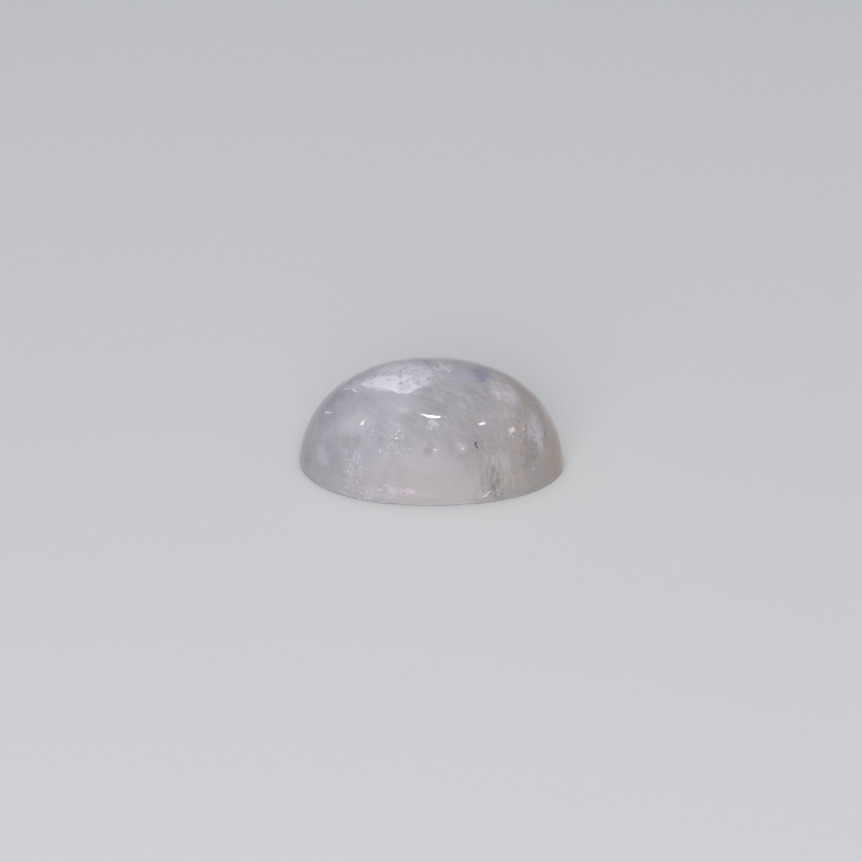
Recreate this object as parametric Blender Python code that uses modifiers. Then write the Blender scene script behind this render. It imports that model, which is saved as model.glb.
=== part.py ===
"""A moonstone cabochon: one solid oval dome of pale feldspar, polished above and ground flat underneath.

The origin is the middle of the flat base. +X runs along the stone, +Y across it and +Z up to the crown.
All lengths are in metres.
"""

import math

import bmesh
import bpy
from mathutils import Vector

# Overall size of the stone
LENGTH = 0.0200
WIDTH = 0.0150
HEIGHT = 0.0078

# The outline is a superellipse, a little squarer than an ellipse, and its +X end is the narrower one
OUTLINE_POWER = 2.17
END_TAPER = 0.063

# The dome's height is (1 - fall) ** (1 / WALL_POWER) of the whole. The fall is 0 at the crown, 1 at the rim,
# and this share of it grows with the square of the way out, the rest with its fourth power.
ROUND_SHARE = 0.745
WALL_POWER = 1.78

# Hand cutting left the crown a little towards the narrower end
CROWN_SHIFT = 0.00031

# The base edge has its sharp corner taken off
EDGE_WIDTH = 0.00010
EDGE_SEGMENTS = 2
EDGE_ANGLE = math.radians(50)

# Facets round the outline, and rings from crown to rim
OUTLINE_SEGMENTS = 84
DOME_RINGS = 24

STONE_COLOUR = (0.43, 0.42, 0.46, 1.0)
STONE_ROUGHNESS = 0.08
STONE_REFRACTION = 1.56

# How near a point of the unit ball counts as on its equator
NEAR = 1e-6


def clear_scene():
    """Remove whatever the file opened with."""
    for old in list(bpy.data.objects):
        bpy.data.objects.remove(old)


def new_collection(name):
    """Make a collection in the scene and return it."""
    collection = bpy.data.collections.new(name)
    bpy.context.scene.collection.children.link(collection)
    return collection


def moonstone_material():
    """Return the pale, glossy material of the polished feldspar."""
    material = bpy.data.materials.new("moonstone")
    material.use_nodes = True
    shader = material.node_tree.nodes["Principled BSDF"]
    shader.inputs["Base Color"].default_value = STONE_COLOUR
    shader.inputs["Roughness"].default_value = STONE_ROUGHNESS
    shader.inputs["Metallic"].default_value = 0.0
    shader.inputs["IOR"].default_value = STONE_REFRACTION
    return material


def outline_point(angle, share):
    """Return the plan point at this share of the way from the middle to the outline."""
    along = math.cos(angle)
    across = math.sin(angle)
    stretch = (abs(along) ** OUTLINE_POWER + abs(across) ** OUTLINE_POWER) ** (-1.0 / OUTLINE_POWER)
    along *= stretch * share
    across *= stretch * share
    return LENGTH / 2 * along, WIDTH / 2 * across * (1.0 - END_TAPER * along)


def dome_share(share):
    """Return the dome's height, from 1 at the crown to 0 at the rim, at this share of the way out."""
    fall = ROUND_SHARE * share**2 + (1.0 - ROUND_SHARE) * share**4
    return max(0.0, 1.0 - fall) ** (1.0 / WALL_POWER)


def cabochon_point(ball_point):
    """Move a point of the unit half ball to its place on the cabochon."""
    share = min(1.0, math.hypot(ball_point.x, ball_point.y))
    rise = dome_share(share) if ball_point.z > NEAR else 0.0
    angle = math.atan2(ball_point.y, ball_point.x)
    x, y = outline_point(angle, share)
    return Vector((x + CROWN_SHIFT * rise**2, y, HEIGHT * rise))


def half_ball(mesh):
    """Fill a bmesh with the upper half of a unit ball, closed underneath by one flat face."""
    bmesh.ops.create_uvsphere(mesh, u_segments=OUTLINE_SEGMENTS, v_segments=2 * DOME_RINGS, radius=1.0)
    bmesh.ops.bisect_plane(
        mesh,
        geom=mesh.verts[:] + mesh.edges[:] + mesh.faces[:],
        dist=NEAR,
        plane_co=(0.0, 0.0, 0.0),
        plane_no=(0.0, 0.0, 1.0),
        clear_inner=True,
    )
    rim = [edge for edge in mesh.edges if edge.is_boundary]
    bmesh.ops.contextual_create(mesh, geom=rim)


def stone_mesh():
    """Return the mesh of the whole stone, dome and base in one closed surface."""
    shape = bmesh.new()
    half_ball(shape)
    for vert in shape.verts:
        vert.co = cabochon_point(vert.co)
    bmesh.ops.recalc_face_normals(shape, faces=shape.faces[:])
    mesh = bpy.data.meshes.new("moonstone")
    shape.to_mesh(mesh)
    shape.free()
    return mesh


def round_base_edge(stone):
    """Take the sharp corner off the edge between the dome's wall and the flat base."""
    bevel = stone.modifiers.new("base_edge", "BEVEL")
    bevel.limit_method = "ANGLE"
    bevel.angle_limit = EDGE_ANGLE
    bevel.width = EDGE_WIDTH
    bevel.segments = EDGE_SEGMENTS


def build_moonstone():
    """Make the stone as one object in its own collection."""
    stone = bpy.data.objects.new("moonstone", stone_mesh())
    new_collection("moonstone_cabochon").objects.link(stone)
    stone.data.shade_smooth()
    stone.data.set_sharp_from_angle(angle=EDGE_ANGLE)
    stone.data.materials.append(moonstone_material())
    round_base_edge(stone)
    return stone


def main():
    clear_scene()
    build_moonstone()


main()
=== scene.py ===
"""An oval moonstone cabochon, with the veils, sparkling healed cracks and mossy streaks inside it."""

import math

import bpy
import numpy as np
from mathutils import Matrix, Vector, noise


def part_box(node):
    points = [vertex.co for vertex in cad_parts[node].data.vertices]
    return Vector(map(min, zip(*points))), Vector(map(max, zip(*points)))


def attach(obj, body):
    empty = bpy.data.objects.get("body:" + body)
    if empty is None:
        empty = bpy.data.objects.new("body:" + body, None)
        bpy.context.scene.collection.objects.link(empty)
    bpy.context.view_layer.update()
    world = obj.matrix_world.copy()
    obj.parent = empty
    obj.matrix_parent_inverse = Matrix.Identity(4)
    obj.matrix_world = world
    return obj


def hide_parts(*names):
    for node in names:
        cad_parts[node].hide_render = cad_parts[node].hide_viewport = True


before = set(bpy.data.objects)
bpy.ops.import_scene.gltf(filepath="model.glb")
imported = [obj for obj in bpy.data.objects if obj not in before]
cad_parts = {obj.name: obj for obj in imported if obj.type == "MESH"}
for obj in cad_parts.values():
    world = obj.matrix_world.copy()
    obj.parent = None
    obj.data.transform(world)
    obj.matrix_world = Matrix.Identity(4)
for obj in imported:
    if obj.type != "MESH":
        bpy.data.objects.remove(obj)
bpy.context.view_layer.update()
low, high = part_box("moonstone")

MM = 0.001

# The dome, in millimetres: the same shape as the cut solid, which gives its length and its height
LENGTH = (high.x - low.x) / MM
HEIGHT = (high.z - low.z) / MM
WIDTH = 15.0
OUTLINE_POWER = 2.17
END_TAPER = 0.063
ROUND_SHARE = 0.745
WALL_POWER = 1.78
CROWN_SHIFT = 0.31
EDGE_WIDTH = 0.10
EDGE_ANGLE = math.radians(50)
EDGE_SEGMENTS = 4
POLISH_WAVES = 0.003
POLISH_WAVE_SCALE = 1.6
DOME_SEGMENTS = 240
DOME_RINGS = 72

# The crystal
REFRACTION = 1.56
CLEARNESS = 0.85
MILKINESS = 350.0

# The photograph's view, in millimetres: how far above the bench the camera stands, how it is turned in its
# own plane, how far off it is and the point of the stone that it looks at
VIEW_LIFT = math.radians(26.71)
VIEW_ROLL = math.radians(-1.38)
VIEW_DISTANCE = 350.0
VIEW_AIM = Vector((-0.09, 0.0, 2.49))
LENS_MM = 193.2
SENSOR_MM = 36

# How a ray of the view finds the dome, in millimetres: how far before the aim it starts, its ever finer
# steps with the number of each, and the span over which the dome's slope is taken
RAY_LEAD = 14.0
RAY_STEPS = ((0.4, 80), (0.05, 10), (0.01, 10), (0.002, 10))
SLOPE_SPAN = 0.01

# How low a place in the stone or a thread may lie over the base, in millimetres
LOWEST_PLACE = 0.15
LOWEST_THREAD = 0.12

# Flakes: their shape, how far one leans out of level and how deep it lies, all against its size
FLAKE_SHAPE = (1.0, 0.55, 0.3)
FLAKE_LEAN = 0.2
FLAKE_DEPTH = 0.12
ANY_TURN = 6.28

# Threads: sides, a tip's thickness against the middle's, the points along a scattered one, and for single
# ones the waver and the step between points in millimetres
THREAD_SIDES = 5
THREAD_TIP = 0.05
THREAD_POINTS = 14
LINE_WAVER = 0.05
LINE_STEP = 0.08

# Veils, in millimetres: the mesh's pitch, how ragged the edges are, the sheet's thickness, and the least
# depth and cover of stone that it keeps
VEIL_PITCH = 0.06
VEIL_RAGGEDNESS = 0.10
VEIL_THICKNESS = 0.015
VEIL_LEAST_DEPTH = 0.05
VEIL_LEAST_COVER = 0.03

# The lamps point at one spot from two distances, in millimetres, and the bench lies a hair under the stone
# so that the two flat faces never share a plane
LAMP_AIM = Vector((0.0, 0.0, 3.0))
LAMP_DISTANCE = 350
SOFTBOX_DISTANCE = 400
LIGHT_BOUNCES = 24
BENCH_GAP = 0.02

NUMBER, WHOLE, PLACE = "NodeSocketFloat", "NodeSocketInt", "NodeSocketVector"


class Recipe:
    """A node tree written as sums: each call adds one node and returns its output."""

    def __init__(self, tree):
        self.tree = tree

    def node(self, kind, **settings):
        made = self.tree.nodes.new(kind)
        for name, value in settings.items():
            setattr(made, name, value)
        return made

    def feed(self, socket, value):
        if isinstance(value, bpy.types.NodeSocket):
            self.tree.links.new(value, socket)
        else:
            socket.default_value = value

    def made(self, kind, given, output=0, **settings):
        """Add a node, fill the sockets that are named in given, and return one of its outputs."""
        node = self.node(kind, **settings)
        for name, value in given.items():
            self.feed(node.inputs[name], value)
        return node.outputs[output]

    def sums(self, operation, *values):
        node = self.node("ShaderNodeMath", operation=operation)
        for socket, value in zip(node.inputs, values):
            self.feed(socket, value)
        return node.outputs[0]

    def times(self, first, second):
        return self.sums("MULTIPLY", first, second)

    def vectors(self, operation, *values):
        node = self.node("ShaderNodeVectorMath", operation=operation)
        for socket, value in zip(node.inputs, values):
            self.feed(socket, value)
        return node.outputs["Value" if operation in ("LENGTH", "DOT_PRODUCT", "DISTANCE") else "Vector"]

    def scaled(self, vector, size):
        return self.made("ShaderNodeVectorMath", {0: vector, "Scale": size}, operation="SCALE")

    def split(self, vector):
        return self.made("ShaderNodeSeparateXYZ", {0: vector}, slice(None))

    def joined(self, x, y, z):
        return self.made("ShaderNodeCombineXYZ", {0: x, 1: y, 2: z})

    def noise(self, place, scale, detail=2.0, roughness=0.5, output=0):
        given = {"Vector": place, "Scale": scale, "Detail": detail, "Roughness": roughness}
        return self.made("ShaderNodeTexNoise", given, output)

    def ramped(self, value, start, end, to_start=0.0, to_end=1.0):
        node = self.node("ShaderNodeMapRange", interpolation_type="SMOOTHSTEP")
        for socket, number in zip(node.inputs, (value, start, end, to_start, to_end)):
            self.feed(socket, number)
        return node.outputs[0]

    def blended(self, share, first, second):
        given = {"Factor": share, "A": first, "B": second}
        return self.made("ShaderNodeMix", given, "Result", data_type="RGBA")

    def nearness(self, place, centre, reach, rough=0.0, grain=0.8):
        """One at the centre and zero past the reach, with an edge as rough as asked."""
        offset = self.vectors("SUBTRACT", place, centre)
        away = self.vectors("LENGTH", self.vectors("DIVIDE", offset, reach))
        if rough:
            uneven = self.sums("SUBTRACT", self.noise(place, grain, detail=3.0, roughness=0.6), 0.5)
            away = self.sums("ADD", away, self.times(uneven, rough))
        return self.ramped(away, 0.25, 1.0, 1.0, 0.0)


def dome_height(x, y):
    """The dome's height over places of the plan, in millimetres."""
    rise = np.zeros_like(x)
    for _ in range(6):
        along = (x - CROWN_SHIFT * rise**2) / (LENGTH / 2)
        across = y / (WIDTH / 2) / (1 - END_TAPER * along)
        share = (np.abs(along) ** OUTLINE_POWER + np.abs(across) ** OUTLINE_POWER) ** (1 / OUTLINE_POWER)
        fall = ROUND_SHARE * share**2 + (1 - ROUND_SHARE) * share**4
        rise = np.maximum(0.0, 1 - fall) ** (1 / WALL_POWER)
    return HEIGHT * rise


def dome_slope(x, y):
    """How steeply the dome rises along x and along y."""
    along = dome_height(x + SLOPE_SPAN, y) - dome_height(x - SLOPE_SPAN, y)
    across = dome_height(x, y + SLOPE_SPAN) - dome_height(x, y - SLOPE_SPAN)
    return along / (2 * SLOPE_SPAN), across / (2 * SLOPE_SPAN)


def aimed(place, target, roll=0.0):
    """The matrix of something at a place that looks down its own -Z at the target."""
    back = (place - target).normalized()
    turned = back.to_track_quat("Z", "Y").to_matrix().to_4x4()
    return Matrix.Translation(place) @ turned @ Matrix.Rotation(roll, 4, "Z")


def view_matrix():
    place = VIEW_DISTANCE * Vector((0, -math.cos(VIEW_LIFT), math.sin(VIEW_LIFT)))
    return aimed(place, VIEW_AIM, -VIEW_ROLL)


def beneath(across, up, depth):
    """The places seen so many millimetres right of and above the picture's middle, so deep in the stone."""
    across, up, depth = np.broadcast_arrays(*(np.asarray(value, float) for value in (across, up, depth)))
    view = np.array(view_matrix())
    rays = np.stack([across / VIEW_DISTANCE, up / VIEW_DISTANCE, -np.ones_like(up)], axis=-1)
    rays = rays @ view[:3, :3].T
    rays /= np.linalg.norm(rays, axis=-1, keepdims=True)

    def reached(far):
        return view[:3, 3] + rays * far[..., None]

    def outside(at):
        return at[..., 2] > dome_height(at[..., 0], at[..., 1])

    far = np.full(across.shape, VIEW_DISTANCE - RAY_LEAD)
    for step, count in RAY_STEPS:
        for _ in range(count):
            far = np.where(outside(reached(far)), far + step, far)
        far -= step
    at = reached(far)
    slope_x, slope_y = dome_slope(at[..., 0], at[..., 1])
    normal = np.stack([-slope_x, -slope_y, np.ones_like(slope_x)], axis=-1)
    normal /= np.linalg.norm(normal, axis=-1, keepdims=True)
    cosine = -(rays * normal).sum(axis=-1, keepdims=True)
    bent = rays / REFRACTION
    bent += normal * (cosine / REFRACTION - np.sqrt(1 - (1 - cosine**2) / REFRACTION**2))
    deep = at + bent * depth[..., None]
    deep[..., 2] = np.maximum(deep[..., 2], LOWEST_PLACE)
    return deep


def curved(points, share):
    """The places these shares of the way along a smooth line through the points."""
    points = np.array(points, float)
    spans = len(points) - 1
    step = np.minimum((np.asarray(share) * spans).astype(int), spans - 1)
    t = (np.asarray(share) * spans - step)[..., None]
    before, start, end, after = (points[np.clip(step + k, 0, spans)] for k in (-1, 0, 1, 2))
    bend = 2 * before - 5 * start + 4 * end - after + t * (3 * (start - end) + after - before)
    return start + 0.5 * t * (end - before + t * bend)


def unevenness(places, scale, seed):
    """Rough, seeded noise between about -1 and 1 at each place."""
    spots = places.reshape(-1, places.shape[-1]) * scale
    found = [noise.fractal(Vector((*spot[:2], seed)), 0.6, 2.1, 6) for spot in spots]
    return np.array(found).reshape(places.shape[:-1])


def geometry_tree(name, sizes):
    """Start a geometry tree with a socket for each named size; return its recipe and its input sockets."""
    tree = bpy.data.node_groups.new(name, "GeometryNodeTree")
    tree.interface.new_socket("Geometry", in_out="OUTPUT", socket_type="NodeSocketGeometry")
    tree.interface.new_socket("Geometry", in_out="INPUT", socket_type="NodeSocketGeometry")
    for size, kind in (sizes | {"Material": "NodeSocketMaterial"}).items():
        tree.interface.new_socket(size, in_out="INPUT", socket_type=kind)
    recipe = Recipe(tree)
    return recipe, recipe.node("NodeGroupInput").outputs


def finish_tree(recipe, geometry, given):
    """End a geometry tree with real geometry in the given material."""
    real = recipe.made("GeometryNodeRealizeInstances", {0: geometry})
    smooth = recipe.made("GeometryNodeSetShadeSmooth", {0: real})
    painted = recipe.made("GeometryNodeSetMaterial", {"Geometry": smooth, "Material": given["Material"]})
    recipe.tree.links.new(painted, recipe.node("NodeGroupOutput").inputs[0])
    return recipe


def placed(name, mesh):
    piece = bpy.data.objects.new(name, mesh)
    bpy.context.scene.collection.objects.link(piece)
    return piece


def plain_mesh(name, recipe, values, material, start=None, finish=None):
    """Run a geometry tree on a starting mesh, and return an object that holds the plain mesh it makes."""
    blank = placed(name + "_blank", start or bpy.data.meshes.new(name + "_blank"))
    modifier = blank.modifiers.new("shape", "NODES")
    modifier.node_group = recipe.tree
    values = values | {"Material": material}
    for item in recipe.tree.interface.items_tree:
        if item.in_out == "INPUT" and item.name in values:
            modifier[item.identifier] = values[item.name]
    if finish:
        finish(blank)
    depsgraph = bpy.context.evaluated_depsgraph_get()
    mesh = bpy.data.meshes.new_from_object(blank.evaluated_get(depsgraph))
    bpy.data.objects.remove(blank)
    mesh.name = name
    mesh.materials.clear()
    mesh.materials.append(material)
    return placed(name, mesh)


def inside_stone(piece):
    """Attach a piece that lies inside the stone to the stone's body."""
    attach(piece, "root")


def dome_tree():
    """The cabochon: half a ball whose plan becomes the outline and whose height follows the dome's law."""
    recipe, given = geometry_tree("cabochon", {
        "Length": NUMBER, "Width": NUMBER, "Height": NUMBER, "Outline power": NUMBER, "End taper": NUMBER,
        "Round share": NUMBER, "Wall power": NUMBER, "Crown shift": NUMBER, "Polish waves": NUMBER,
        "Segments": WHOLE, "Rings": WHOLE,
    })
    hair = 1e-4
    rings = recipe.times(given["Rings"], 2.0)
    ball = recipe.made("GeometryNodeMeshUVSphere", {"Segments": given["Segments"], "Rings": rings})
    position = recipe.node("GeometryNodeInputPosition").outputs[0]
    x, y, height = recipe.split(position)
    lower = recipe.sums("LESS_THAN", height, -hair)
    halved = recipe.made("GeometryNodeDeleteGeometry", {"Geometry": ball, "Selection": lower})
    disc = recipe.made("GeometryNodeMeshCircle", {"Vertices": given["Segments"]}, fill_type="NGON")
    under = recipe.made("GeometryNodeFlipFaces", {0: disc})
    both = recipe.node("GeometryNodeJoinGeometry")
    recipe.tree.links.new(halved, both.inputs[0])
    recipe.tree.links.new(under, both.inputs[0])
    closed = recipe.made("GeometryNodeMergeByDistance", {"Geometry": both.outputs[0], "Distance": hair})

    share = recipe.sums("MINIMUM", recipe.vectors("LENGTH", recipe.joined(x, y, 0.0)), 1.0)
    power = given["Outline power"]
    reach = recipe.sums(
        "ADD",
        recipe.sums("POWER", recipe.sums("ABSOLUTE", recipe.sums("DIVIDE", x, share)), power),
        recipe.sums("POWER", recipe.sums("ABSOLUTE", recipe.sums("DIVIDE", y, share)), power),
    )
    stretch = recipe.sums("POWER", recipe.sums("MAXIMUM", reach, 1e-6), recipe.sums("DIVIDE", -1.0, power))
    along = recipe.times(x, stretch)
    across = recipe.times(y, stretch)
    square = recipe.times(share, share)
    round_part = recipe.times(given["Round share"], square)
    wall_share = recipe.sums("SUBTRACT", 1.0, given["Round share"])
    wall_part = recipe.times(wall_share, recipe.times(square, square))
    left = recipe.sums("SUBTRACT", 1.0, recipe.sums("ADD", round_part, wall_part))
    wall_root = recipe.sums("DIVIDE", 1.0, given["Wall power"])
    rise = recipe.sums("POWER", recipe.sums("MAXIMUM", left, 0.0), wall_root)
    lean = recipe.times(given["Crown shift"], recipe.times(rise, rise))
    half_length = recipe.times(given["Length"], 0.5)
    half_width = recipe.times(given["Width"], 0.5)
    taper = recipe.sums("SUBTRACT", 1.0, recipe.times(given["End taper"], along))
    cut = recipe.joined(
        recipe.sums("ADD", recipe.times(half_length, along), lean),
        recipe.times(recipe.times(half_width, across), taper),
        recipe.times(given["Height"], rise),
    )
    swell = recipe.noise(position, POLISH_WAVE_SCALE, detail=1.0)
    waves = recipe.times(given["Polish waves"], swell)
    cut = recipe.scaled(cut, recipe.sums("SUBTRACT", 1.0, waves))
    moved = recipe.made("GeometryNodeSetPosition", {"Geometry": closed, "Position": cut})
    return finish_tree(recipe, moved, given)


def break_edge(blank):
    """Round the sharp edge between the dome's wall and the ground base."""
    bevel = blank.modifiers.new("broken_edge", "BEVEL")
    bevel.limit_method = "ANGLE"
    bevel.angle_limit = EDGE_ANGLE
    bevel.width = EDGE_WIDTH * MM
    bevel.segments = EDGE_SEGMENTS


def build_stone():
    values = {
        "Length": LENGTH * MM, "Width": WIDTH * MM, "Height": HEIGHT * MM, "Outline power": OUTLINE_POWER,
        "End taper": END_TAPER, "Round share": ROUND_SHARE, "Wall power": WALL_POWER,
        "Crown shift": CROWN_SHIFT * MM, "Polish waves": POLISH_WAVES, "Segments": DOME_SEGMENTS,
        "Rings": DOME_RINGS,
    }
    stone = plain_mesh("cabochon", dome_tree(), values, moonstone_material(), finish=break_edge)
    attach(stone, "root")
    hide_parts("moonstone")
    return stone


def drawn(recipe, kind, least, most, seed):
    """A random number or vector for each point."""
    given = {"Min": least, "Max": most, "Seed": seed}
    return recipe.made("FunctionNodeRandomValue", given, "Value", data_type=kind)


def scattered_points(recipe, given):
    """Points on the dome, thick near the centre and none past the reach, in the clumps that grains form."""
    stone = recipe.made("GeometryNodeObjectInfo", {"Object": given["Stone"]}, "Geometry")
    position = recipe.node("GeometryNodeInputPosition").outputs[0]
    near = recipe.nearness(position, given["Centre"], given["Reach"])
    clumps = recipe.noise(position, given["Clump scale"], detail=3.0)
    kept = recipe.times(near, recipe.ramped(clumps, 0.40, 0.62))
    on_dome = recipe.sums("GREATER_THAN", recipe.split(position)[2], 2 * EDGE_WIDTH * MM)
    kept = recipe.times(kept, on_dome)
    spread = recipe.node("GeometryNodeDistributePointsOnFaces")
    recipe.feed(spread.inputs["Mesh"], stone)
    recipe.feed(spread.inputs["Density"], recipe.times(given["Per area"], kept))
    recipe.feed(spread.inputs["Seed"], given["Seed"])
    return stone, position, spread


def outward_at(recipe, stone, place):
    """The way out of the stone from its surface nearest to the place."""
    return recipe.made("GeometryNodeSampleNearestSurface", {
        "Mesh": stone, "Value": recipe.node("GeometryNodeInputNormal").outputs[0], "Sample Position": place,
    }, data_type="FLOAT_VECTOR")


def flakes_on(recipe, stone, points, size, seed):
    """A thin flake of this size on each point, nearly level with the polished surface."""
    flake = recipe.made("GeometryNodeMeshIcoSphere", {"Radius": 1.0, "Subdivisions": 1})
    flake = recipe.made("GeometryNodeTransform", {"Geometry": flake, "Scale": FLAKE_SHAPE})
    turned = drawn(recipe, "FLOAT_VECTOR", (0, 0, 0), (ANY_TURN,) * 3, seed)
    tilt = drawn(recipe, "FLOAT_VECTOR", (-FLAKE_LEAN,) * 3, (FLAKE_LEAN,) * 3, seed)
    outward = outward_at(recipe, stone, recipe.node("GeometryNodeInputPosition").outputs[0])
    rotation = recipe.made("FunctionNodeAlignRotationToVector", {
        "Rotation": recipe.made("FunctionNodeEulerToRotation", {0: turned}),
        "Vector": recipe.vectors("ADD", outward, tilt),
    }, axis="Z")
    return recipe.made("GeometryNodeInstanceOnPoints", {
        "Points": points, "Instance": flake, "Rotation": rotation, "Scale": size,
    })


def swept(recipe, threads, girth):
    """Round threads of this thickness that taper to nothing at both ends."""
    way = recipe.node("GeometryNodeSplineParameter").outputs["Factor"]
    swell = recipe.times(recipe.times(way, recipe.sums("SUBTRACT", 1.0, way)), 4.0)
    ring = recipe.made("GeometryNodeCurvePrimitiveCircle", {"Resolution": THREAD_SIDES, "Radius": 1.0})
    return recipe.made("GeometryNodeCurveToMesh", {
        "Curve": threads, "Profile Curve": ring, "Fill Caps": True,
        "Scale": recipe.times(recipe.sums("MAXIMUM", swell, THREAD_TIP), girth),
    })


def wavering(recipe, position, amount):
    """The place moved a little each way by noise."""
    waver = recipe.vectors("SUBTRACT", recipe.noise(position, 900.0, output=1), (0.5,) * 3)
    return recipe.vectors("ADD", position, recipe.scaled(waver, amount))


SCATTER_SIZES = {
    "Stone": "NodeSocketObject", "Centre": PLACE, "Reach": PLACE, "Per area": NUMBER, "Clump scale": NUMBER,
    "Least depth": NUMBER, "Most depth": NUMBER, "Seed": WHOLE,
}


def grains_tree():
    """Small flat flakes scattered under the surface of the stone."""
    recipe, given = geometry_tree("grains", SCATTER_SIZES | {"Smallest": NUMBER, "Largest": NUMBER})
    stone, _, spread = scattered_points(recipe, given)
    share = drawn(recipe, "FLOAT", 0.0, 1.0, given["Seed"])
    spare = recipe.sums("SUBTRACT", given["Most depth"], given["Least depth"])
    depth = recipe.sums("MULTIPLY_ADD", recipe.times(share, share), spare, given["Least depth"])
    sunk = recipe.scaled(spread.outputs["Normal"], recipe.times(depth, -1.0))
    points = recipe.made("GeometryNodeSetPosition", {"Geometry": spread.outputs["Points"], "Offset": sunk})
    size = drawn(recipe, "FLOAT", given["Smallest"], given["Largest"], recipe.sums("ADD", given["Seed"], 7))
    size = recipe.sums("DIVIDE", recipe.times(size, size), given["Largest"])
    size = recipe.sums("MAXIMUM", size, given["Smallest"])
    return finish_tree(recipe, flakes_on(recipe, stone, points, size, given["Seed"]), given)


def streaks_tree():
    """Thin tapering threads that run one way under the surface of the stone."""
    recipe, given = geometry_tree("streaks", SCATTER_SIZES | {
        "Run": PLACE, "Spread": NUMBER, "Shortest": NUMBER, "Longest": NUMBER, "Thickness": NUMBER,
        "Waver": NUMBER,
    })
    stone, position, spread = scattered_points(recipe, given)
    spare = recipe.times(given["Spread"], -1.0)
    turned = drawn(recipe, "FLOAT_VECTOR", recipe.joined(spare, spare, spare),
                   recipe.joined(given["Spread"], given["Spread"], given["Spread"]), given["Seed"])
    length = drawn(recipe, "FLOAT", given["Shortest"], given["Longest"], given["Seed"])
    line = recipe.made("GeometryNodeCurvePrimitiveLine", {"Start": (0, 0, -0.5), "End": (0, 0, 0.5)})
    line = recipe.made("GeometryNodeResampleCurve", {"Curve": line, "Count": THREAD_POINTS})
    heading = recipe.vectors("ADD", given["Run"], turned)
    threads = recipe.made("GeometryNodeInstanceOnPoints", {
        "Points": spread.outputs["Points"], "Instance": line,
        "Rotation": recipe.made("FunctionNodeAlignRotationToVector", {"Vector": heading}, axis="Z"),
        "Scale": recipe.joined(1.0, 1.0, length),
    })
    threads = recipe.made("GeometryNodeRealizeInstances", {0: threads})
    moved = wavering(recipe, position, given["Waver"])
    surface = recipe.made("GeometryNodeProximity", {"Geometry": stone, "Sample Position": moved})
    outward = outward_at(recipe, stone, moved)
    rising = recipe.noise(position, 700.0)
    depth = recipe.ramped(rising, 0.3, 0.7, given["Least depth"], given["Most depth"])
    x, y, z = recipe.split(recipe.vectors("SUBTRACT", surface, recipe.scaled(outward, depth)))
    sunk = recipe.joined(x, y, recipe.sums("MAXIMUM", z, LOWEST_THREAD * MM))
    threads = recipe.made("GeometryNodeSetPosition", {"Geometry": threads, "Position": sunk})
    return finish_tree(recipe, swept(recipe, threads, given["Thickness"]), given)


def marks_tree():
    """Flakes on the loose points of the starting mesh, each as large as the point's size says."""
    recipe, given = geometry_tree("marks", {"Stone": "NodeSocketObject", "Seed": WHOLE})
    stone = recipe.made("GeometryNodeObjectInfo", {"Object": given["Stone"]}, "Geometry")
    points = recipe.made("GeometryNodeMeshToPoints", {"Mesh": given["Geometry"]})
    size = recipe.made("GeometryNodeInputNamedAttribute", {"Name": "size"}, data_type="FLOAT")
    return finish_tree(recipe, flakes_on(recipe, stone, points, size, given["Seed"]), given)


def lines_tree():
    """Tapering threads along the edges of the starting mesh, each as thick as its points' size says."""
    recipe, given = geometry_tree("lines", {"Waver": NUMBER, "Step": NUMBER})
    curves = recipe.made("GeometryNodeMeshToCurve", {"Mesh": given["Geometry"]})
    curves = recipe.made("GeometryNodeCurveSplineType", {"Curve": curves}, spline_type="CATMULL_ROM")
    spaced = {"Curve": curves, "Length": given["Step"]}
    curves = recipe.made("GeometryNodeResampleCurve", spaced, mode="LENGTH")
    position = recipe.node("GeometryNodeInputPosition").outputs[0]
    moved = wavering(recipe, position, given["Waver"])
    curves = recipe.made("GeometryNodeSetPosition", {"Geometry": curves, "Position": moved})
    size = recipe.made("GeometryNodeInputNamedAttribute", {"Name": "size"}, data_type="FLOAT")
    return finish_tree(recipe, swept(recipe, curves, size), given)


def marked_mesh(name, points, edges, sizes):
    """A mesh of loose points and edges in millimetres, with a size for each point."""
    mesh = bpy.data.meshes.new(name)
    mesh.from_pydata([Vector(point) * MM for point in points], edges, [])
    mesh.attributes.new("size", "FLOAT", "POINT").data.foreach_set("value", [size * MM for size in sizes])
    return mesh


def build_marks(name, marks, stone, material, seed):
    """Single flakes that reach the polished surface, from their places in the view and their sizes."""
    across, up, sizes = np.array(marks).T
    start = marked_mesh(name + "_places", beneath(across, up, FLAKE_DEPTH * sizes), [], sizes)
    inside_stone(plain_mesh(name, marks_tree(), {"Stone": stone, "Seed": seed}, material, start))


def build_lines(name, lines, material):
    """Single threads, each from its thickness, its depth and the places in the view along it."""
    points, edges, sizes = [], [], []
    for girth, depth, *places in lines:
        first = len(points)
        across, up = zip(*places)
        points.extend(beneath(across, up, depth))
        sizes.extend([girth] * len(places))
        edges.extend((first + k, first + k + 1) for k in range(len(places) - 1))
    start = marked_mesh(name + "_places", points, edges, sizes)
    values = {"Waver": LINE_WAVER * MM, "Step": LINE_STEP * MM}
    inside_stone(plain_mesh(name, lines_tree(), values, material, start))


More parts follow.
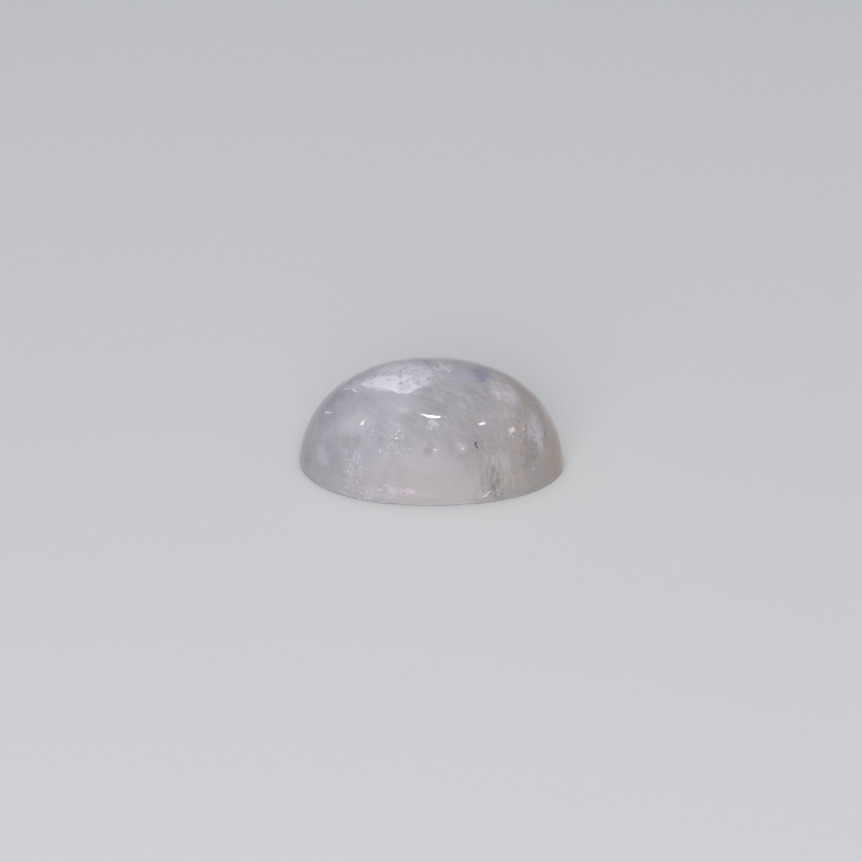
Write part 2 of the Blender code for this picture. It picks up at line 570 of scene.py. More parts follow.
def build_veil(name, material, near_edge, far_edge, depth, relief, torn, seed):
    """A crumpled sheet under the dome, between a nearer and a farther edge given as places in the view."""
    steps = np.linspace(0.0, 1.0, 9)
    near, far = curved(near_edge, steps), curved(far_edge, steps)
    columns = math.ceil(np.linalg.norm(np.diff(near, axis=0), axis=1).sum() / VEIL_PITCH)
    rows = math.ceil(np.linalg.norm(far - near, axis=1).max() * 1.6 / VEIL_PITCH)
    i, j = np.meshgrid(np.arange(columns + 1) / columns, np.arange(rows + 1) / rows)
    seen = curved(near_edge, i) * (1 - j[..., None]) + curved(far_edge, i) * j[..., None]
    shift = np.stack([unevenness(seen, 2.6, seed), unevenness(seen, 2.6, seed + 40)], axis=-1)
    seen = seen + VEIL_RAGGEDNESS * shift
    deep = np.maximum(depth + relief * unevenness(seen, 0.9, seed + 20), VEIL_LEAST_DEPTH)
    sunk = beneath(seen[..., 0], seen[..., 1], deep)
    inside = sunk[..., 2] < dome_height(sunk[..., 0], sunk[..., 1]) - VEIL_LEAST_COVER
    whole = 0.5 + 0.5 * unevenness(seen, 3.2, seed + 60) > torn * (0.30 + 1.1 * j**1.5)
    verts, whole = sunk.reshape(-1, 3) * MM, (whole & inside).ravel()
    faces = []
    for row in range(rows):
        for column in range(columns):
            a = row * (columns + 1) + column
            corners = (a, a + 1, a + columns + 2, a + columns + 1)
            if all(whole[corner] for corner in corners):
                faces.append(corners)
    mesh = bpy.data.meshes.new(name)
    mesh.from_pydata([tuple(vert) for vert in verts], [], faces)
    mesh.attributes.new("across", "FLOAT", "POINT").data.foreach_set("value", j.ravel())
    mesh.shade_smooth()
    mesh.materials.append(material)
    veil = placed(name, mesh)
    thickness = veil.modifiers.new("thickness", "SOLIDIFY")
    thickness.thickness = VEIL_THICKNESS * MM
    inside_stone(veil)


def new_material(name):
    """Return a new material with its recipe and its shader."""
    material = bpy.data.materials.new(name)
    material.use_nodes = True
    return material, Recipe(material.node_tree), material.node_tree.nodes["Principled BSDF"]


def place_in_mm(recipe):
    return recipe.scaled(recipe.node("ShaderNodeTexCoord").outputs["Object"], 1.0 / MM)


# Soft clouds in the crystal: where they show in the view, how far they reach, their colour and density
CLOUDS = (
    ((-3.6, 2.0), (4.8, 3.2, 2.6), (0.79, 0.75, 0.89), 0.85),
    ((-8.4, 1.6), (2.4, 3.4, 2.4), (0.53, 0.50, 0.62), 0.85),
    ((-8.0, -3.0), (3.6, 3.0, 2.8), (0.62, 0.63, 0.65), 0.80),
    ((1.3, 1.7), (4.2, 4.0, 3.0), (0.60, 0.60, 0.61), 0.92),
    ((3.8, -0.6), (3.6, 3.0, 2.6), (0.61, 0.55, 0.56), 0.85),
    ((4.1, 2.6), (2.3, 2.8, 1.8), (0.50, 0.48, 0.50), 0.75),
    ((8.6, -1.4), (2.4, 4.2, 4.0), (0.58, 0.51, 0.46), 0.80),
    # Painted shade: this narrow band darkens the far right edge towards the outline, with a warm brown tint
    ((9.6, -1.2), (1.3, 3.8, 3.4), (0.62, 0.49, 0.38), 0.88),
    ((7.4, 3.0), (2.8, 3.6, 2.2), (0.58, 0.53, 0.50), 0.75),
    # Painted shade: this narrow band darkens the far left edge towards the outline
    ((-9.6, -1.2), (1.3, 3.8, 3.0), (0.47, 0.46, 0.50), 0.80),
    ((-5.8, 0.5), (1.9, 1.7, 1.2), (0.96, 0.94, 1.0), 0.95),
    ((-8.2, -1.9), (1.0, 1.3, 1.0), (0.92, 0.90, 1.0), 0.98),
    ((-7.9, 1.45), (1.1, 0.6, 0.4), (0.95, 0.98, 0.95), 0.55),
    ((-4.9, 2.6), (1.3, 0.7, 0.6), (0.64, 0.61, 0.73), 0.60),
    ((-2.6, 2.2), (1.6, 1.1, 1.0), (0.93, 0.89, 1.0), 0.65),
    ((-2.2, 1.6), (0.9, 0.5, 0.4), (1.0, 0.98, 1.0), 0.75),
    ((-1.6, 0.9), (1.0, 0.9, 0.9), (0.56, 0.58, 0.56), 0.60),
    ((-4.0, -0.6), (1.7, 1.4, 1.3), (0.80, 0.79, 0.87), 0.45),
    ((-6.2, -0.9), (1.0, 1.1, 1.0), (0.60, 0.61, 0.63), 0.65),
    ((-3.1, -4.7), (1.0, 0.9, 0.6), (1.0, 0.98, 1.0), 0.95),
    ((-1.5, -4.7), (1.1, 0.9, 0.7), (1.0, 0.88, 0.86), 0.85),
    ((-1.4, -3.2), (0.4, 0.9, 1.3), (0.92, 0.90, 0.80), 0.42),
    ((-3.0, 4.4), (5.0, 4.4, 2.0), (1.0, 1.0, 1.0), 0.95),
    ((0.8, 5.1), (1.3, 2.0, 1.0), (1.0, 0.98, 1.0), 0.80),
    ((0.5, 2.6), (0.9, 1.2, 1.0), (0.84, 0.80, 0.94), 0.70),
    # Painted sheen: these two bluish patches stand in for the stone's blue sheen, which shows only as light
    # falls
    ((3.8, 4.3), (1.3, 1.6, 0.9), (0.42, 0.43, 0.58), 0.85),
    ((2.2, 4.2), (1.8, 1.6, 1.0), (0.68, 0.68, 0.87), 0.75),
    ((5.5, 2.9), (1.3, 1.8, 1.3), (1.0, 0.95, 0.94), 0.85),
    ((5.5, 2.1), (0.6, 0.5, 0.5), (0.52, 0.43, 0.43), 0.75),
    ((6.7, 3.1), (0.6, 0.6, 0.6), (0.52, 0.42, 0.40), 0.65),
    ((6.6, 1.2), (0.6, 1.0, 1.0), (0.50, 0.50, 0.54), 0.70),
    ((7.9, 0.2), (1.0, 1.7, 1.7), (1.0, 0.93, 0.97), 0.85),
    ((7.3, -1.6), (0.9, 1.2, 1.2), (0.50, 0.47, 0.45), 0.70),
    ((5.1, -4.2), (1.8, 1.3, 1.4), (0.54, 0.53, 0.46), 0.75),
    ((-0.25, -1.55), (0.50, 0.60, 0.60), (0.54, 0.45, 0.45), 0.50),
    ((0.00, -1.15), (0.50, 0.55, 0.55), (0.56, 0.47, 0.47), 0.42),
    ((3.6, -0.7), (0.8, 0.7, 0.7), (0.54, 0.48, 0.51), 0.65),
    ((2.3, -1.2), (0.7, 0.6, 0.6), (1.0, 0.95, 0.94), 0.70),
    ((7.1, -2.6), (0.9, 0.8, 0.4), (0.54, 0.50, 0.48), 0.55),
)

# Mottled and fibrous patches: where, reach, which way their grain runs, how fine it is, colour and density
MARBLING = (
    ((-2.9, 4.2), (5.2, 3.4, 2.2), (1.0, 0.3, 0.0), 1.3, (1.0, 0.99, 1.0), 0.90),
    ((5.4, 3.0), (2.0, 2.6, 2.0), (0.55, -0.65, -0.5), 1.6, (1.0, 0.98, 1.0), 0.95),
    ((5.7, 2.6), (1.5, 2.0, 1.5), (0.55, -0.65, -0.5), 1.1, (0.50, 0.42, 0.44), 0.80),
    ((8.0, -0.3), (1.5, 2.6, 3.0), (0.1, -0.45, -1.0), 1.6, (1.0, 0.97, 0.98), 0.90),
    ((6.9, -1.2), (1.8, 2.6, 3.2), (0.1, -0.45, -1.0), 1.3, (0.48, 0.44, 0.44), 0.80),
    ((4.9, -3.7), (2.0, 1.8, 2.2), (0.0, -0.3, -1.0), 1.6, (0.34, 0.33, 0.29), 0.90),
    ((5.3, -3.2), (2.2, 1.8, 2.6), (0.0, -0.3, -1.0), 1.4, (1.0, 0.97, 0.95), 0.70),
    ((-3.1, -0.8), (2.2, 1.8, 1.8), (1.0, 0.2, 0.4), 2.0, (1.0, 1.0, 1.0), 0.65),
    ((-5.8, -2.6), (1.1, 1.6, 2.4), (0.2, 0.0, 1.0), 3.0, (1.0, 1.0, 1.0), 0.60),
    ((-3.4, -4.5), (4.5, 1.6, 1.1), (1.0, 0.0, 0.2), 1.4, (1.0, 0.98, 1.0), 0.75),
    ((3.0, 2.6), (2.6, 2.4, 1.5), (0.8, -0.6, -0.2), 1.2, (0.82, 0.80, 0.82), 0.45),
    ((1.5, 5.2), (4.0, 2.5, 1.2), (1.0, -0.2, -0.1), 1.2, (1.0, 0.98, 1.0), 0.50),
    ((0.8, 2.2), (2.0, 2.0, 1.5), (0.2, -0.8, -0.5), 1.0, (0.54, 0.54, 0.55), 0.60),
    ((-4.0, 1.4), (4.5, 2.6, 2.2), (1.0, 0.1, 0.15), 0.7, (0.97, 0.94, 1.0), 0.60),
    ((-5.5, -1.6), (4.0, 3.0, 3.0), (0.4, 0.1, 1.0), 0.7, (0.54, 0.55, 0.58), 0.60),
)


# The crystal's colours: left, middle and right, a painted glow low at the front, its sugary grain, its
# murk, a painted highlight on the rim over the base, and the milk in it
COOL = (0.79, 0.765, 0.845, 1)
NEUTRAL = (0.77, 0.72, 0.765, 1)
WARM = (0.73, 0.62, 0.555, 1)
PAINTED_FRONT_GLOW = (0.95, 0.88, 0.905, 1)
SUGARY = (1.0, 1.0, 1.0, 1)
MURKY = (0.60, 0.58, 0.62, 1)
PAINTED_RIM_HIGHLIGHT = (1.0, 0.97, 0.97, 1)
MILKY = (0.90, 0.885, 0.905, 1)


def along_grain(recipe, place, run):
    """The place squeezed along the run, so that noise there draws out into fibres."""
    run = Vector(run).normalized()
    along = recipe.times(recipe.vectors("DOT_PRODUCT", place, run), 0.8)
    return recipe.vectors("SUBTRACT", place, recipe.scaled(recipe.joined(*run), along))


def body_colour(recipe, place, height):
    """Cool lavender on the left, warmer on the right, with a painted glow low at the front."""
    from_left = recipe.split(place)[0]
    drift = recipe.times(recipe.noise(place, 0.3, detail=3.0), 6.0)
    drift = recipe.sums("ADD", from_left, drift)
    colour = recipe.blended(recipe.ramped(drift, 0.5, 6.0), COOL, NEUTRAL)
    colour = recipe.blended(recipe.ramped(drift, 6.0, 11.5), colour, WARM)
    # Painted glow: paler and faintly pink low at the front, as if light passing through the stone gathered
    # there
    painted_glow_share = recipe.nearness(place, (-0.8, -7.2, 0.8), (8.5, 5.0, 4.2), 0.5, 0.3)
    colour = recipe.blended(painted_glow_share, colour, PAINTED_FRONT_GLOW)
    for seen, reach, tint, density in CLOUDS:
        near = recipe.nearness(place, Vector(beneath(*seen, 0.0)), reach, 0.9)
        colour = recipe.blended(recipe.times(near, density), colour, (*tint, 1))
    for seen, reach, run, grain, tint, density in MARBLING:
        near = recipe.nearness(place, Vector(beneath(*seen, 0.0)), reach, 0.8)
        mottle = recipe.noise(along_grain(recipe, place, run), grain, detail=4.0, roughness=0.68)
        share = recipe.times(near, recipe.ramped(mottle, 0.45, 0.62, 0.0, density))
        colour = recipe.blended(share, colour, (*tint, 1))
    sugar = recipe.noise(along_grain(recipe, place, (1.0, -0.5, -0.3)), 3.2, detail=3.0, roughness=0.75)
    plainer = recipe.nearness(place, (1.0, -7.0, 1.6), (5.5, 4.0, 3.5), 0.5, 0.3)
    strength = recipe.ramped(plainer, 0.0, 1.0, 0.26, 0.10)
    share = recipe.times(recipe.ramped(sugar, 0.40, 0.68), strength)
    colour = recipe.blended(share, colour, SUGARY)
    murk = recipe.noise(recipe.vectors("ADD", place, (9.0, 4.0, 2.0)), 0.5, detail=4.0, roughness=0.62)
    strength = recipe.ramped(plainer, 0.0, 1.0, 0.55, 0.12)
    share = recipe.times(recipe.ramped(murk, 0.46, 0.70), strength)
    colour = recipe.blended(share, colour, MURKY)
    # Painted highlight: the rim just over the base is whitened as if its broken edge caught the light
    return recipe.blended(recipe.ramped(height, 0.08, 0.22, 0.7, 0.0), colour, PAINTED_RIM_HIGHLIGHT)


def moonstone_material():
    """Milky feldspar with a polished dome and a ground base."""
    material, recipe, shader = new_material("polished_moonstone")
    place = place_in_mm(recipe)
    height = recipe.split(place)[2]
    recipe.feed(shader.inputs["Base Color"], body_colour(recipe, place, height))
    polish = recipe.ramped(recipe.noise(place, 1.2, detail=4.0), 0.35, 0.70, 0.035, 0.075)
    recipe.feed(shader.inputs["Roughness"], recipe.ramped(height, 0.05, 0.15, 0.6, polish))
    shader.inputs["IOR"].default_value = REFRACTION
    shader.inputs["Transmission Weight"].default_value = CLEARNESS
    milk = recipe.node("ShaderNodeVolumeScatter")
    milk.inputs["Color"].default_value = MILKY
    milk.inputs["Density"].default_value = MILKINESS
    milk.inputs["Anisotropy"].default_value = 0.2
    recipe.tree.links.new(milk.outputs[0], recipe.tree.nodes["Material Output"].inputs["Volume"])
    return material


def veil_material(name, dark, light, rim_colour):
    """The silvery white of a cleavage plane seen through milk, brightest along its broken edge."""
    material, recipe, shader = new_material(name)
    place = place_in_mm(recipe)
    mottle = recipe.ramped(recipe.noise(place, 2.6, detail=6.0, roughness=0.7), 0.36, 0.64)
    edge = recipe.node("ShaderNodeAttribute", attribute_name="across").outputs["Fac"]
    rim = recipe.ramped(edge, 0.02, 0.12, 1.0, 0.0)
    colour = recipe.blended(rim, recipe.blended(mottle, dark, light), rim_colour)
    recipe.feed(shader.inputs["Base Color"], colour)
    recipe.feed(shader.inputs["Roughness"], recipe.ramped(mottle, 0.0, 1.0, 0.45, 0.25))
    return material


def inclusion_material(name, dark, light, scale, roughness=0.4):
    """A mottled material for what is sealed in the crystal."""
    material, recipe, shader = new_material(name)
    mottle = recipe.ramped(recipe.noise(place_in_mm(recipe), scale, detail=4.0), 0.35, 0.65)
    recipe.feed(shader.inputs["Base Color"], recipe.blended(mottle, dark, light))
    shader.inputs["Roughness"].default_value = roughness
    return material


def bench_material():
    """A pale matte board near the stone, darkened to grey away from it as painted shade."""
    material, recipe, shader = new_material("pale_bench")
    across, deep, height = recipe.split(recipe.node("ShaderNodeTexCoord").outputs["Object"])
    distance = recipe.vectors("LENGTH", recipe.joined(across, deep, recipe.times(height, 2.0)))
    # Painted shade: the board turns greyer with distance from the stone, as the light would fall off
    far = recipe.ramped(distance, 0.10, 0.55)
    pale, painted_falloff_grey = (0.52, 0.52, 0.53, 1), (0.42, 0.42, 0.43, 1)
    recipe.feed(shader.inputs["Base Color"], recipe.blended(far, pale, painted_falloff_grey))
    shader.inputs["Roughness"].default_value = 0.7
    shader.inputs["Specular IOR Level"].default_value = 0.2
    return material


# The veils: the nearer edge and the farther one, as places in the view, then depth, relief, tears and seed
BRIGHT_VEILS = {
    "bright_veil": (
        ((-5.22, 3.40), (-4.46, 3.29), (-3.86, 3.25), (-3.10, 3.10), (-2.57, 2.88), (-1.74, 2.84),
         (-1.36, 3.10), (-0.98, 3.22), (-0.53, 3.25)),
        ((-5.22, 3.63), (-4.77, 3.97), (-4.16, 4.09), (-3.48, 4.16), (-2.72, 4.27), (-1.97, 4.27),
         (-1.51, 4.05), (-1.21, 3.71), (-0.53, 3.33)),
        0.07, 0.03, 0.19, 2,
    ),
    "shoulder_veil": (
        ((-0.83, 3.59), (-0.45, 3.48), (-0.08, 3.63), (0.15, 3.93)),
        ((-0.76, 4.09), (-0.53, 4.54), (-0.15, 4.69), (0.15, 4.24)),
        0.20, 0.08, 0.45, 5,
    ),
}
FAINT_VEILS = {
    "faint_veil": (
        ((-7.19, 2.99), (-6.13, 3.10), (-5.37, 3.14), (-4.24, 3.22), (-3.10, 3.10), (-1.97, 3.03),
         (-0.98, 3.22), (-0.08, 3.40), (0.53, 3.63)),
        ((-7.04, 3.25), (-6.05, 3.98), (-4.92, 4.58), (-3.75, 5.02), (-2.35, 5.30), (-1.29, 5.40),
         (-0.53, 5.28), (-0.08, 4.72), (0.53, 3.78)),
        0.30, 0.10, 0.04, 9,
    ),
    "crown_veil": (
        ((0.23, 4.69), (0.68, 4.50), (1.13, 4.39), (1.59, 4.54), (1.89, 4.84)),
        ((0.23, 5.14), (0.61, 5.39), (0.98, 5.33), (1.44, 5.14), (1.89, 4.92)),
        0.25, 0.10, 0.42, 15,
    ),
    "feather_veil": (
        ((4.77, 3.25), (5.14, 2.72), (5.67, 2.19), (6.20, 1.44), (6.58, 0.83)),
        ((4.92, 3.78), (5.52, 3.63), (5.98, 3.10), (6.43, 2.27), (6.81, 1.21)),
        0.25, 0.12, 0.55, 25,
    ),
    "right_veil": (
        ((7.34, 0.23), (7.34, -0.68), (7.49, -1.59)),
        ((7.94, 1.21), (8.47, 0.53), (8.47, -0.68)),
        0.25, 0.12, 0.55, 35,
    ),
    "low_veil": (
        ((-4.10, -4.45), (-3.40, -4.68), (-2.70, -4.74), (-1.90, -4.78), (-1.00, -4.70)),
        ((-4.10, -4.30), (-3.40, -4.00), (-2.70, -4.05), (-1.90, -4.10), (-1.00, -4.40)),
        0.20, 0.08, 0.36, 45,
    ),
}
# Painted sheen: bluish sheets that stand in for the stone's blue sheen, which shows only as light falls
PAINTED_SHEEN_VEILS = {
    "blue_sheen": (
        ((3.25, 4.09), (3.56, 3.93), (4.01, 3.97), (4.31, 4.12)),
        ((3.18, 4.46), (3.56, 4.62), (4.01, 4.58), (4.31, 4.39)),
        0.70, 0.15, 0.50, 12,
    ),
    "blue_spot": (
        ((3.66, 3.70), (3.86, 3.64), (4.06, 3.72)),
        ((3.68, 3.98), (3.86, 4.06), (4.06, 4.00)),
        0.08, 0.04, 0.45, 17,
    ),
}


def build_veils():
    white = veil_material("white_veil", (0.88, 0.87, 0.98, 1), (0.99, 0.97, 1.0, 1), (1.0, 1.0, 1.0, 1))
    faint = veil_material("faint_veil", (0.64, 0.62, 0.73, 1), (0.93, 0.92, 1.0, 1), (0.80, 0.78, 0.88, 1))
    # Painted sheen: the bluish veil's colour
    blue = veil_material("painted_sheen_veil", (0.52, 0.52, 0.64, 1), (0.68, 0.70, 0.86, 1), (0.66, 0.68, 0.84, 1))
    for veils, material in ((BRIGHT_VEILS, white), (FAINT_VEILS, faint), (PAINTED_SHEEN_VEILS, blue)):
        for name, veil in veils.items():
            build_veil(name, material, *veil)


# Flakes and grains: centre, reach, how many to a square millimetre, depths, sizes, clumping and seed
GRAINS = {
    "upper_sparkle": ((-3.0, -5.5, 4.9), (2.6, 2.0, 2.2), 90.0, (0.003, 0.02), (0.028, 0.064), 0.9, 3),
    "grain_column": ((-5.8, -6.2, 2.2), (1.0, 1.6, 2.6), 150.0, (0.003, 0.02), (0.028, 0.058), 0.8, 4),
    "veil_glitter": ((-3.2, -1.0, 7.0), (5.0, 3.0, 1.8), 20.0, (0.003, 0.02), (0.03, 0.06), 1.2, 6),
    "crown_glitter": ((0.9, -0.4, 7.7), (1.8, 1.6, 1.0), 34.0, (0.003, 0.02), (0.03, 0.06), 1.0, 7),
    # Painted highlight: white flakes packed just under the front lamp's reflection stand in for its
    # speckled glow
    "front_glow": ((-0.1, -5.1, 5.65), (0.85, 0.55, 0.55), 500.0, (0.003, 0.01), (0.030, 0.060), 1.5, 8),
    "low_left_flecks": ((-5.2, -6.6, 0.7), (2.8, 1.6, 0.9), 30.0, (0.003, 0.02), (0.026, 0.052), 1.0, 9),
    "right_flecks": ((6.3, -4.6, 4.7), (2.4, 2.4, 2.4), 18.0, (0.003, 0.04), (0.03, 0.058), 0.8, 12),
    "loose_grains": ((0.0, 0.0, 3.0), (14.0, 12.0, 9.0), 4.0, (0.005, 0.2), (0.025, 0.055), 0.5, 10),
}
# Painted highlight: yellowish flakes packed under the far right lamp's reflection stand in for its speckles
PAINTED_HIGHLIGHT_GRAINS = {
    "sunny_patch": ((6.1, -4.5, 4.85), (0.85, 0.75, 0.75), 200.0, (0.003, 0.02), (0.030, 0.058), 1.5, 14),
}


def scatter_values(stone, centre, reach, per_mm2, depth, clump, seed):
    return {
        "Stone": stone, "Centre": Vector(centre) * MM, "Reach": Vector(reach) * MM,
        "Per area": per_mm2 / MM**2, "Clump scale": clump / MM, "Least depth": depth[0] * MM,
        "Most depth": depth[1] * MM, "Seed": seed,
    }


def build_grains(stone, dust, highlight_dust):
    recipe = grains_tree()
    for table, material in ((GRAINS, dust), (PAINTED_HIGHLIGHT_GRAINS, highlight_dust)):
        for name, (centre, reach, per_mm2, depth, size, clump, seed) in table.items():
            values = scatter_values(stone, centre, reach, per_mm2, depth, clump, seed)
            values.update({"Smallest": size[0] * MM, "Largest": size[1] * MM})
            inside_stone(plain_mesh(name, recipe, values, material))


# Threads: centre, reach, how many to a square millimetre, depths, run, spread, lengths, thickness, waver,
# clumping and seed
PALE_STREAKS = {
    "feathers": ((5.6, -1.9, 6.3), (1.8, 2.6, 1.8), 16.0, (0.07, 0.35), (0.55, -0.65, -0.55), 0.25,
                 (0.5, 2.0), 0.050, 0.4, 0.6, 21),
    "right_wisps": ((7.9, -3.4, 3.6), (1.4, 2.6, 2.6), 12.0, (0.08, 0.40), (0.1, -0.45, -1.0), 0.20,
                    (0.6, 2.2), 0.055, 0.3, 0.6, 22),
    "moss_light": ((5.0, -6.2, 1.8), (1.9, 1.6, 2.0), 8.0, (0.07, 0.3), (0.0, -0.3, -1.0), 0.12,
                   (0.4, 1.6), 0.045, 0.3, 0.7, 23),
}
DARK_STREAKS = {
    "moss": ((5.0, -6.3, 1.1), (1.9, 1.6, 1.8), 5.0, (0.3, 0.8), (0.0, -0.3, -1.0), 0.12,
             (0.3, 1.3), 0.080, 0.3, 0.7, 31),
}


def build_streaks(stone, pale, dark):
    recipe = streaks_tree()
    for table, material in ((PALE_STREAKS, pale), (DARK_STREAKS, dark)):
        for name, streaks in table.items():
            centre, reach, per_mm2, depth, run, spread, length, girth, waver, clump, seed = streaks
            values = scatter_values(stone, centre, reach, per_mm2, depth, clump, seed)
            values.update({
                "Run": Vector(run), "Spread": spread, "Shortest": length[0] * MM, "Longest": length[1] * MM,
                "Thickness": girth * MM, "Waver": waver * MM,
            })
            inside_stone(plain_mesh(name, recipe, values, material))


# Single bright flakes and dark specks: how far right and up they show in the view, and their size
BRIGHT_FLAKES = (
    (-5.18, 3.56, 0.14), (0.00, 0.15, 0.06), (2.38, -1.32, 0.11), (7.02, 0.17, 0.09), (7.79, -2.84, 0.10),
    (-6.22, -3.05, 0.08), (-3.84, -1.57, 0.10), (-2.44, 0.00, 0.08), (-2.61, -0.53, 0.10),
    (-3.71, -0.15, 0.06), (-3.27, -1.13, 0.06), (-5.56, -3.86, 0.06), (-4.84, -4.62, 0.05),
    (-4.50, -4.65, 0.06), (-2.23, 1.70, 0.07), (-6.20, -2.72, 0.06), (-5.30, -2.65, 0.07),
    (-5.60, -2.42, 0.06), (-5.52, -1.93, 0.07), (-4.39, 0.00, 0.07), (-2.65, -0.23, 0.06),
    (-2.19, -0.45, 0.07), (0.76, 4.27, 0.08), (1.36, 4.50, 0.11), (6.09, -0.04, 0.05), (1.06, 1.06, 0.07),
    (-7.76, 1.40, 0.05), (6.25, 0.20, 0.05), (-2.05, 3.95, 0.08), (-2.80, 4.40, 0.07), (-3.60, 3.95, 0.07),
    (-1.60, 4.90, 0.07), (2.05, -0.95, 0.07),
)
DARK_SPECKS = (
    (3.37, -0.98, 0.16), (3.46, -1.20, 0.14), (3.58, -1.40, 0.08), (3.50, -0.88, 0.08), (7.54, 1.94, 0.09),
    (7.91, -1.93, 0.07), (5.37, -4.73, 0.10), (5.45, -4.44, 0.07), (-3.41, 3.55, 0.04), (-3.18, 3.49, 0.04),
)

# Single threads: thickness, depth and the places in the view that each runs through
PALE_LINES = (
    (0.035, 0.03, (-6.95, 3.10), (-6.36, 3.18), (-5.98, 3.22)),
    (0.050, 0.04, (-5.98, 3.28), (-5.75, 2.99), (-5.45, 3.03)),
    (0.090, 0.10, (-5.36, 0.38), (-5.12, 0.70), (-4.80, 1.06)),
    (0.050, 0.04, (-8.25, 1.55), (-7.76, 1.36), (-7.30, 1.50)),
    (0.050, 0.04, (0.08, -1.32), (0.30, -1.44), (0.60, -1.48)),
    (0.050, 0.04, (3.75, -4.99), (4.09, -4.92), (4.31, -4.69), (4.54, -4.52), (4.80, -4.44)),
    (0.035, 0.05, (4.20, 2.36), (4.84, 2.12), (5.52, 1.85), (6.00, 1.76)),
    (0.030, 0.05, (4.35, 2.14), (4.99, 1.93), (5.62, 1.68)),
    (0.060, 0.15, (4.77, 3.56), (5.22, 3.03), (5.83, 2.27), (6.36, 1.51), (6.73, 0.98), (7.11, 0.53)),
    (0.050, 0.15, (5.22, 3.48), (5.60, 2.88), (5.98, 2.19), (6.43, 1.44)),
    (0.065, 0.22, (8.32, 0.83), (8.55, 0.15), (8.32, -0.45)),
    (0.060, 0.12, (9.26, -2.72), (9.19, -3.30)),
    (0.110, 0.30, (7.64, 1.06), (7.72, 0.13)),
    (0.090, 0.28, (7.26, 0.08), (7.41, -0.80)),
    (0.080, 0.25, (8.17, -0.70), (8.32, -1.25)),
    (0.080, 0.28, (6.90, -0.60), (6.73, -1.35)),
    (0.070, 0.28, (7.06, -1.50), (6.96, -2.45)),
    (0.060, 0.25, (8.25, -1.29), (8.17, -2.00)),
    (0.090, 0.35, (4.60, -1.75), (4.70, -2.50)),
    (0.070, 0.30, (6.18, -0.55), (6.38, -1.05)),
    (0.070, 0.30, (4.07, -0.62), (4.18, -1.10)),
    (0.050, 0.12, (0.06, 3.60), (0.25, 2.95)),
    (0.080, 0.35, (2.33, 2.30), (2.60, 1.60)),
)
DARK_LINES = (
    (0.025, 0.02, (-4.76, 3.21), (-3.90, 3.13), (-3.10, 2.98), (-2.65, 2.80)),
    (0.120, 0.7, (4.08, -3.15), (4.02, -3.85), (3.92, -4.75)),
    (0.130, 0.7, (5.00, -2.95), (5.05, -3.75), (5.15, -4.40)),
    (0.130, 0.6, (5.53, -3.10), (5.49, -3.86), (5.68, -4.70)),
    (0.090, 0.5, (5.95, -3.10), (5.92, -4.20)),
    (0.090, 0.4, (6.33, -3.42), (6.27, -4.22)),
    (0.060, 0.4, (3.57, -4.00), (3.50, -5.25)),
    (0.090, 0.5, (3.80, -3.65), (3.68, -4.60)),
    (0.070, 0.2, (4.31, -4.58), (4.62, -4.66), (5.07, -4.80), (5.48, -4.74)),
    (0.080, 0.5, (6.40, 1.55), (6.51, 0.98), (6.75, 0.48)),
    (0.090, 0.8, (6.70, -2.48), (7.50, -2.68)),
)


def build_single_marks(stone, frost, specks, pale, dark):
    build_marks("bright_flakes", BRIGHT_FLAKES, stone, frost, 51)
    build_marks("dark_specks", DARK_SPECKS, stone, specks, 52)
    build_lines("pale_lines", PALE_LINES, pale)
    build_lines("dark_lines", DARK_LINES, dark)


def build_inclusions(stone):
    frost = inclusion_material("white_flakes", (0.92, 0.91, 0.97, 1), (1.0, 1.0, 1.0, 1), 3.0, 0.25)
    dust = inclusion_material("pale_dust", (0.84, 0.84, 0.88, 1), (1.0, 1.0, 1.0, 1), 4.0, 0.35)
    highlight_dust = inclusion_material("painted_highlight_dust", (0.94, 0.93, 0.74, 1), (1.0, 1.0, 0.90, 1), 4.0, 0.35)
    specks = inclusion_material("dark_specks", (0.05, 0.045, 0.07, 1), (0.10, 0.09, 0.12, 1), 3.0)
    pale = inclusion_material("pale_threads", (0.80, 0.79, 0.83, 1), (0.97, 0.96, 0.98, 1), 2.0)
    dark = inclusion_material("mossy_threads", (0.56, 0.54, 0.48, 1), (0.82, 0.79, 0.74, 1), 2.0, 0.6)
    build_veils()
    build_grains(stone, dust, highlight_dust)
    build_streaks(stone, pale, dark)
    build_single_marks(stone, frost, specks, pale, dark)


def build_stage():
    """A pale bench that curves up into a wall all round."""
    radius, curve, wall, segments, steps = 0.45, 0.15, 0.35, 128, 16
    profile = [(0.0, 0.0), (radius, 0.0)]
    for step in range(1, steps + 1):
        turn = math.radians(90) * step / steps
        profile.append((radius + curve * math.sin(turn), curve * (1 - math.cos(turn))))
    profile.append((radius + curve, wall))
    verts, faces = [(0.0, 0.0, 0.0)], []
    for r, z in profile[1:]:
        for k in range(segments):
            angle = 2 * math.pi * k / segments
            verts.append((r * math.cos(angle), r * math.sin(angle), z))
    for k in range(segments):
        faces.append((0, 1 + k, 1 + (k + 1) % segments))
    for ring in range(len(profile) - 2):
        a, b = 1 + ring * segments, 1 + (ring + 1) * segments
        for k in range(segments):
            n = (k + 1) % segments
            faces.append((a + k, b + k, b + n, a + n))
    mesh = bpy.data.meshes.new("bench")
    mesh.from_pydata(verts, [], faces)
    mesh.transform(Matrix.Translation((0, 0, -BENCH_GAP * MM)))
    mesh.shade_smooth()
    mesh.materials.append(bench_material())
    placed("bench", mesh)


def in_metres(matrix):
    """The same matrix with its place turned from millimetres into metres."""
    moved = matrix.copy()
    moved.translation *= MM
    return moved


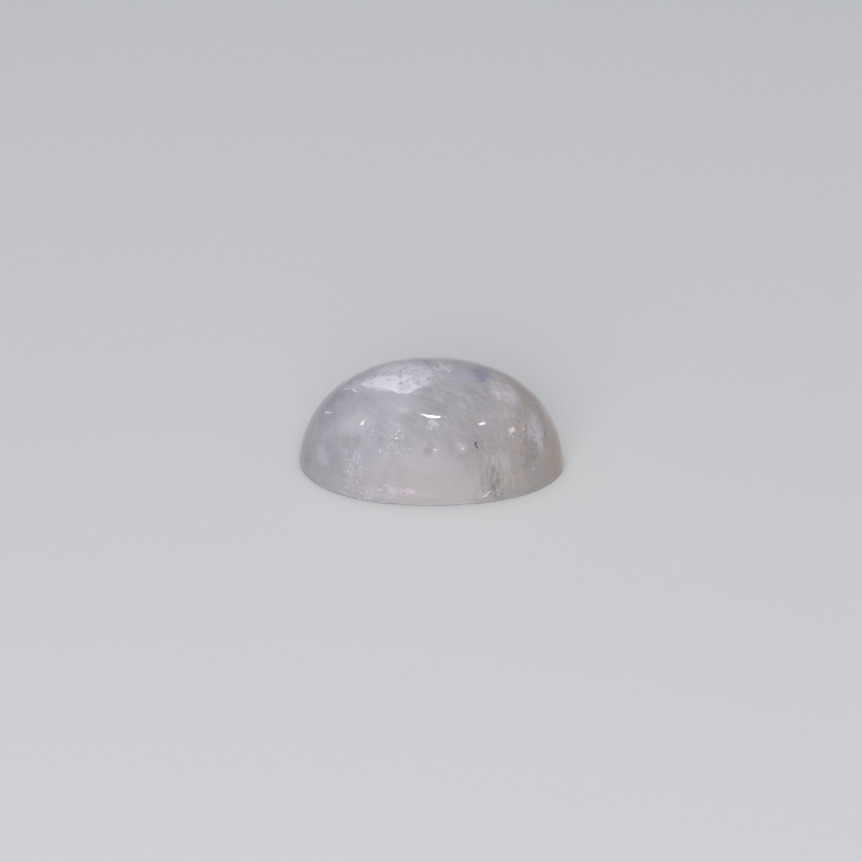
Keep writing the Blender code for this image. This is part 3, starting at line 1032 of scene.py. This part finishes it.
def add_lamp(name, turn, lift, distance, size, glow, colour=(1, 1, 1), seen=True, roll=0.0):
    """Hang a flat lamp, in millimetres, so many degrees round from the front and up from the bench."""
    light = bpy.data.lights.new(name, "AREA")
    light.shape = "RECTANGLE"
    light.size, light.size_y = size[0] * MM, size[1] * MM
    light.energy = glow * math.pi * light.size * light.size_y
    light.color = colour
    turn, lift = math.radians(turn), math.radians(lift)
    heading = Vector((math.sin(turn) * math.cos(lift), -math.cos(turn) * math.cos(lift), math.sin(lift)))
    lamp = bpy.data.objects.new(name, light)
    lamp.matrix_world = in_metres(aimed(heading * distance + LAMP_AIM, LAMP_AIM, math.radians(roll)))
    lamp.visible_glossy = seen
    bpy.context.scene.collection.objects.link(lamp)


def light_scene():
    world = bpy.data.worlds.new("studio_air")
    world.use_nodes = True
    air = world.node_tree.nodes["Background"]
    air.inputs["Color"].default_value = (0.92, 0.95, 1.0, 1)
    air.inputs["Strength"].default_value = 0.38
    scene = bpy.context.scene
    scene.world = world
    scene.view_settings.view_transform = "Standard"
    scene.cycles.max_bounces = LIGHT_BOUNCES
    scene.cycles.volume_bounces = LIGHT_BOUNCES
    add_lamp("overhead_softbox", 180, 80, SOFTBOX_DISTANCE, (400, 400), 2.0, seen=False)
    add_lamp("front_softbox", -8, 19, SOFTBOX_DISTANCE, (300, 200), 8.0, seen=False)
    add_lamp("front_lamp", 5.8, 70.3, LAMP_DISTANCE, (28, 17), 26.0, roll=-30)
    add_lamp("front_lamp_tail", -4.2, 72.3, LAMP_DISTANCE, (42, 9), 20.0, roll=-38)
    add_lamp("right_lamp", 54, 51.3, LAMP_DISTANCE, (34, 18), 13.0, roll=-15)
    add_lamp("far_right_lamp", 77.7, 32.6, LAMP_DISTANCE, (50, 26), 4.0, (1.0, 0.97, 0.85))
    add_lamp("left_lamp", -82.3, 44.9, LAMP_DISTANCE, (30, 14), 7.0, roll=-20)


def set_camera():
    data = bpy.data.cameras.new("camera")
    data.lens = LENS_MM
    data.sensor_width = SENSOR_MM
    camera = bpy.data.objects.new("camera", data)
    camera.matrix_world = in_metres(view_matrix())
    bpy.context.scene.collection.objects.link(camera)
    bpy.context.scene.camera = camera


set_camera()
build_stage()
light_scene()
build_inclusions(build_stone())
